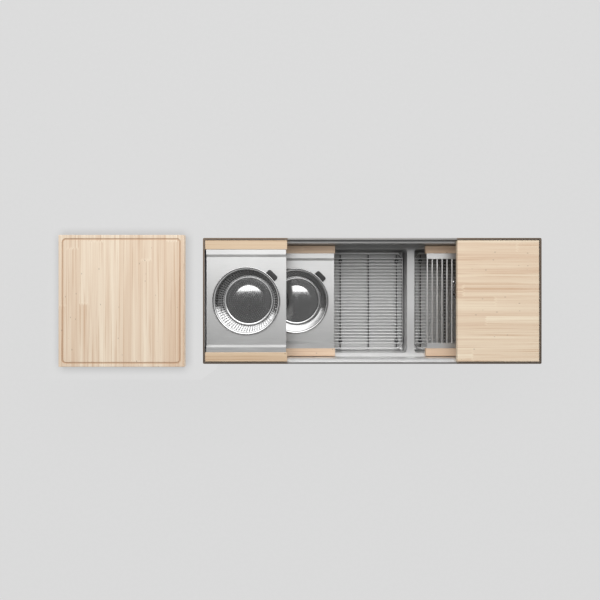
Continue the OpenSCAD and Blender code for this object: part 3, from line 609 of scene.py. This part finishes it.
def add_wall(mesh, slotted):
    """The bowl's wall, with rows of slots where slotted. Gives its lowest ring and disc radius."""
    points, disc = wall_profile()
    angles = ring_angles()
    rings = []
    for r, z in points:
        rings.append([mesh.verts.new((r * math.cos(a), r * math.sin(a), z)) for a in angles])
    for low, high, (_, z0), (_, z1) in zip(rings, rings[1:], points, points[1:]):
        row, into = divmod((z0 + z1) / 2 - SLOT_START, SLOT_TALL + SLOT_GAP)
        open_here = slotted and 0 <= row < SLOT_ROWS and into < SLOT_TALL
        add_band(mesh, low, high, skip=SLOT_STEPS if open_here else 0)
    return rings[0], disc


def dome(x, y):
    """The base's height: a shallow dome in the middle, with a flat ring round it."""
    r = math.hypot(x, y) / DOME_R
    if r < DOME_BLEND_FROM:
        rise = BASE_DOME * (1 - r * r)
    else:
        rise = BASE_DOME * max(0.0, DOME_BLEND_TO - r) ** 2 * DOME_BLEND
    return -HANG + BASE_DISC_RISE + rise


def add_plain_base(mesh, edge):
    """The domed disc inside the ring edge, in ever smaller rings."""
    last = edge
    for share in DISC_SHARES:
        inward = [v.co.xy * share for v in edge]
        ring = [mesh.verts.new((x, y, dome(x, y))) for x, y in inward]
        add_band(mesh, ring, last)
        last = ring
    mesh.faces.new(last)


def add_holed_base(mesh, edge):
    """The domed disc inside the ring edge, with a middle hole and rings of holes round it."""
    flat = [v.co.xy for v in edge]
    sizes = [len(flat)]
    middles = [(0.0, 0.0)]
    for ring in range(1, HOLE_RINGS + 1):
        middles += [p[:2] for p in circle_points(ring * HOLE_PITCH, RING_HOLES * ring)]
    for x, y in middles:
        hole = circle_points(HOLE_R, HOLE_SIDES)
        flat += [Vector((x + p[0], y + p[1])) for p in hole]
        sizes.append(len(hole))
    edges, start = [], 0
    for size in sizes:
        edges += [(start + i, start + (i + 1) % size) for i in range(size)]
        start += size
    verts, _, faces, origin, _, _ = delaunay_2d_cdt(flat, edges, [], 0, MERGE_WITHIN)
    made = []
    for v, source in zip(verts, origin):
        on_edge = next((i for i in source if i < len(edge)), None)
        if on_edge is None:
            made.append(mesh.verts.new((v.x, v.y, dome(v.x, v.y))))
        else:
            made.append(edge[on_edge])
    hole_of = {}
    start = len(edge)
    for number, size in enumerate(sizes[1:]):
        hole_of.update({start + i: number for i in range(size)})
        start += size
    for face in faces:
        holes = {hole_of.get(next(iter(origin[i]), -1)) for i in face}
        if len(holes) == 1 and None not in holes:
            continue
        mesh.faces.new([made[i] for i in face])


def add_bead(mesh):
    """The rolled bead at the edge of the rim."""
    rings = []
    for k in range(BEAD_STEPS):
        a = 2 * math.pi * k / BEAD_STEPS
        r = BOWL_RIM_R - BEAD_R + BEAD_R * math.cos(a)
        z = BEAD_LOW + BEAD_R + BEAD_R * math.sin(a)
        rings.append([mesh.verts.new(p) for p in circle_points(r, BEAD_AROUND, z)])
    for low, high in zip(rings, rings[1:] + rings[:1]):
        add_band(mesh, low, high)


def new_piece(name, mesh, centre, body, slot_name, replaced, sharp=40):
    """A smooth piece in place of the solid replaced, which rides on the body."""
    bmesh.ops.recalc_face_normals(mesh, faces=mesh.faces)
    data = bpy.data.meshes.new(name)
    mesh.to_mesh(data)
    mesh.free()
    data.shade_smooth()
    data.set_sharp_from_angle(angle=math.radians(sharp))
    data.transform(Matrix.Translation(centre))
    data.materials.append(MATERIALS[slot_name])
    piece = bpy.data.objects.new(name, data)
    bpy.context.scene.collection.objects.link(piece)
    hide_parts(replaced)
    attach(piece, body)


def build_bowl(name, centre, holed):
    """The sheet of a bowl, with its base, wall and rolled rim, as one piece."""
    mesh = bmesh.new()
    edge, disc = add_wall(mesh, slotted=holed)
    if holed:
        add_holed_base(mesh, edge)
    else:
        add_plain_base(mesh, edge)
    bmesh.ops.recalc_face_normals(mesh, faces=mesh.faces)
    if sum(f.normal.z for f in mesh.faces if f.calc_center_median().xy.length < disc / 2) < 0:
        bmesh.ops.reverse_faces(mesh, faces=mesh.faces)
    whole = mesh.faces[:] + mesh.edges[:] + mesh.verts[:]
    bmesh.ops.solidify(mesh, geom=whole, thickness=-SHEET)
    add_bead(mesh)
    new_piece(f"{name}_shell", mesh, centre, name, "bowl_steel", name)


def grip_outline(inset):
    """Outline of the grip round the rim, turned to +X: an inner arc and rounded outer corners."""
    inner, outer = BOWL_RIM_R + GRIP_CLEAR + inset, BOWL_RIM_R + GRIP_OUT - inset
    half, corner = GRIP_WIDTH / 2 - inset, GRIP_CORNER - inset
    span = math.asin(half / inner)
    steps = 6
    turns = [span * (1 - i / steps) for i in range(2 * steps + 1)]
    points = [(inner * math.cos(a), inner * math.sin(a)) for a in turns]
    for side in (-1, 1):
        arc = [math.radians(90 * i / steps) for i in range(steps + 1)]
        arc = arc[::-1] if side < 0 else arc
        for a in arc:
            out = outer - corner + corner * math.cos(a)
            across = half - corner + corner * math.sin(a)
            points.append((out, side * across))
    return points


def build_grip(name, centre, body):
    """The moulded grip on a bowl's rim, with rounded edges."""
    mesh = bmesh.new()
    turned = Matrix.Rotation(GRIP_ANGLE, 4, "Z")
    steps = 5
    quarter = [math.radians(90 * step / steps) for step in range(steps + 1)]
    edges = [(-1, 1 - math.sin(a), math.cos(a)) for a in quarter]
    edges += [(1, 1 - math.cos(a), math.sin(a)) for a in quarter]
    rings = []
    for side, inward, up in edges:
        z = GRIP_MIDDLE + side * (GRIP_THICK / 2 - GRIP_EDGE + GRIP_EDGE * up)
        outline = grip_outline(GRIP_EDGE * inward)
        rings.append([mesh.verts.new(turned @ Vector((x, y, z))) for x, y in outline])
    for low, high in zip(rings, rings[1:]):
        add_band(mesh, low, high)
    mesh.faces.new(rings[0])
    mesh.faces.new(rings[-1])
    new_piece(f"{name}_pad", mesh, centre, body, "black_silicone", name, sharp=70)


dress_nodes()
build_bowl("colander", COLANDER_CENTRE, holed=True)
build_bowl("mixing_bowl", MIXING_BOWL_CENTRE, holed=False)
build_grip("colander_grip", COLANDER_CENTRE, "colander")
build_grip("mixing_bowl_grip", MIXING_BOWL_CENTRE, "mixing_bowl")


# ---- Stage, light and camera ----


def stage_material(name, glow, contact=0.0):
    """The stage's finish. Seen directly or in a reflection, its own tone shows by the share glow.

    Close to what stands on it, a contact shadow is painted into that tone, darker by up to the
    share contact.
    """
    material, g = new_material(name)
    speck = g.noise(g.place(), 60.0)
    tone = g.mix(g.sway(speck), [FLOOR_TONE - FLOOR_SPECK] * 3, [FLOOR_TONE + FLOOR_SPECK] * 3)
    matt = g.add("ShaderNodeBsdfDiffuse", {"Color": tone}).outputs["BSDF"]
    clear = g.add("ShaderNodeAmbientOcclusion", {"Distance": CONTACT_REACH}).outputs["AO"]
    strength = g.span(clear, CONTACT_FULL, 1.0, 1.0 - contact, 1.0)
    plain = g.add("ShaderNodeEmission", {"Color": tone, "Strength": strength}).outputs["Emission"]
    path = g.add("ShaderNodeLightPath").outputs
    mirrored = g.math("MAXIMUM", path["Is Glossy Ray"], path["Is Transmission Ray"])
    seen = g.math("MAXIMUM", path["Is Camera Ray"], mirrored)
    mixer = g.add("ShaderNodeMixShader")
    g.feed(mixer.inputs[0], g.math("MULTIPLY", seen, glow))
    g.feed(mixer.inputs[1], matt)
    g.feed(mixer.inputs[2], plain)
    out = g.add("ShaderNodeOutputMaterial")
    g.feed(out.inputs["Surface"], mixer.outputs[0])
    return material


def stage_box(name, low, high, materials, top_only=False):
    """A box of the stage, open below. materials holds its top's and then its sides' finish."""
    mesh = bmesh.new()
    places = itertools.product(*zip(low[::-1], high[::-1]))
    # From corner 0, corner 1 lies along X, corner 2 along Y and corner 4 along Z
    corners = [mesh.verts.new(place[::-1]) for place in places]
    mesh.faces.new([corners[i] for i in (4, 5, 7, 6)])
    if not top_only:
        for ring in ((0, 1, 5, 4), (1, 3, 7, 5), (3, 2, 6, 7), (2, 0, 4, 6)):
            mesh.faces.new([corners[i] for i in ring]).material_index = 1
    data = bpy.data.meshes.new(name)
    mesh.to_mesh(data)
    mesh.free()
    box = bpy.data.objects.new(name, data)
    bpy.context.scene.collection.objects.link(box)
    for material in materials:
        data.materials.append(material)


def build_stage():
    """The floor, and the plinth that carries the separate board as a worktop would."""
    lowest = CAD_BOX[0].z - FLOOR_DROP
    floor = stage_material("floor", FLOOR_GLOW)
    plinth_top = stage_material("plinth_top", FLOOR_GLOW, CONTACT_SHADE)
    plinth_side = stage_material("plinth_side", 1.0)
    near = (-FLOOR_REACH, -FLOOR_REACH, lowest - FLOOR_THICK)
    far = (FLOOR_REACH, FLOOR_REACH, lowest)
    stage_box("stage_floor", near, far, [floor], top_only=True)
    low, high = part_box("grooved_board")
    sink_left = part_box("basin")[0].x
    stage_box(
        "stage_plinth",
        (low.x - PLINTH_MARGIN, low.y - PLINTH_MARGIN, lowest),
        (sink_left - PLINTH_RIGHT_GAP, high.y + PLINTH_MARGIN, low.z),
        [plinth_top, plinth_side],
    )


def area_light(name, place, target, size, radiance):
    """A soft rectangular lamp. radiance is how bright its face is, where 1 is white."""
    data = bpy.data.lights.new(name, "AREA")
    data.shape = "RECTANGLE"
    data.size, data.size_y = size
    data.energy = radiance * math.pi * size[0] * size[1]
    lamp = bpy.data.objects.new(name, data)
    lamp.location = place
    lamp.rotation_euler = (Vector(target) - Vector(place)).to_track_quat("-Z", "Y").to_euler()
    lamp.visible_camera = False
    bpy.context.scene.collection.objects.link(lamp)


def build_light():
    """A large soft lamp overhead and behind, and a world that is dark overhead and dim in front."""
    world = bpy.data.worlds.new("studio")
    bpy.context.scene.world = world
    world.use_nodes = True
    g = Graph(world.node_tree)
    _, y, z = g.axes(g.add("ShaderNodeTexCoord").outputs["Generated"])
    level = g.span(y, -WORLD_TURN, WORLD_TURN, WORLD_FRONT, WORLD_BACK)
    away = g.span(z, *DARK_CONE, 1.0, 0.0)
    overhead = g.span(away, 0.0, 1.0, WORLD_TOP, 0.0)
    level = g.math("ADD", g.math("MULTIPLY", level, away), overhead)
    path = g.add("ShaderNodeLightPath").outputs
    strength = g.add("ShaderNodeMix", data_type="FLOAT")
    g.feed(strength.inputs["Factor"], path["Is Camera Ray"])
    g.feed(strength.inputs["A"], level)
    g.feed(strength.inputs["B"], FLOOR_TONE)
    inputs = {"Color": (1.0, 1.0, 1.0), "Strength": strength.outputs["Result"]}
    background = g.add("ShaderNodeBackground", inputs)
    out = g.add("ShaderNodeOutputWorld")
    g.feed(out.inputs["Surface"], background.outputs["Background"])
    area_light("softbox", *SOFTBOX)


def build_camera():
    """The camera looks straight down, as the photograph does."""
    data = bpy.data.cameras.new("camera")
    data.lens = CAMERA_LENS
    data.shift_x = CAMERA_SHIFT
    data.clip_start, data.clip_end = CAMERA_CLIP
    camera = bpy.data.objects.new("camera", data)
    camera.location = CAMERA_PLACE
    bpy.context.scene.collection.objects.link(camera)
    bpy.context.scene.camera = camera


build_stage()
build_light()
build_camera()
bpy.context.scene.view_settings.view_transform = "Standard"
